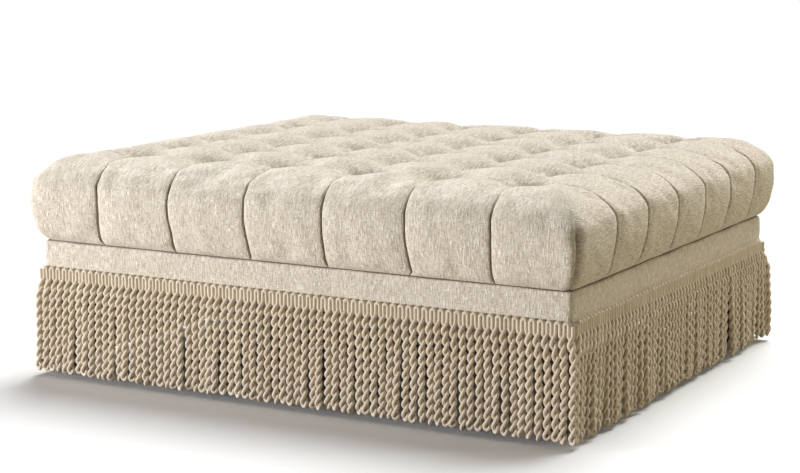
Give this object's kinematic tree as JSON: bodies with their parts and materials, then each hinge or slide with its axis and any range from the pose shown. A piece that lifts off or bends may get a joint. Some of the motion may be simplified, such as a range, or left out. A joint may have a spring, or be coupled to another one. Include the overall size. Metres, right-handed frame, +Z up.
{
  "type": "tufted footstool with bullion fringe",
  "caption": "Low rectangular tufted footstool: a buttoned cushion overhangs a fabric band on a hardwood frame, with twisted bullion fringe to the floor.",
  "frame": {"origin": "on the floor under the middle of the stool", "axes": "+X along the long side to the right, +Y to the back, +Z up"},
  "size_m": [1.226, 1.076, 0.46],
  "materials": {
    "cushion_fabric": "cream linen and chenille weave with soft slubs",
    "fringe_cotton": "twisted taupe and cream cotton cord",
    "hardwood": "plain sanded hardwood",
    "plywood": "birch plywood",
    "foam": "open-cell cushion foam",
    "twine": "waxed twine",
    "toggle_plastic": "matte",
    "glide_plastic": "matte",
    "steel": "zinc plated",
    "dust_cloth": "black non-woven cloth"
  },
  "bodies": {
    "root": {"back_rail": "hardwood", "band_back": "cushion_fabric", "band_front": "cushion_fabric", "band_left": "cushion_fabric", "band_right": "cushion_fabric", "corner_block_back_left": "hardwood", "corner_block_back_right": "hardwood", "corner_block_front_left": "hardwood", "corner_block_front_right": "hardwood", "deck_screws": "steel", "dust_cover": "dust_cloth", "dust_staples": "steel", "fringe_back": "fringe_cotton", "fringe_front": "fringe_cotton", "fringe_left": "fringe_cotton", "fringe_right": "fringe_cotton", "front_rail": "hardwood", "glide_back_left": "glide_plastic", "glide_back_right": "glide_plastic", "glide_front_left": "glide_plastic", "glide_front_right": "glide_plastic", "left_rail": "hardwood", "left_stretcher": "hardwood", "leg_back_left": "hardwood", "leg_back_right": "hardwood", "leg_bolts": "steel", "leg_front_left": "hardwood", "leg_front_right": "hardwood", "right_rail": "hardwood", "right_stretcher": "hardwood", "seat_foam": "foam", "tuft_buttons": "cushion_fabric", "tufted_cover": "cushion_fabric", "tufting_deck": "plywood", "tufting_twine": "twine", "twine_toggles": "toggle_plastic"}
  },
  "joints": []
}
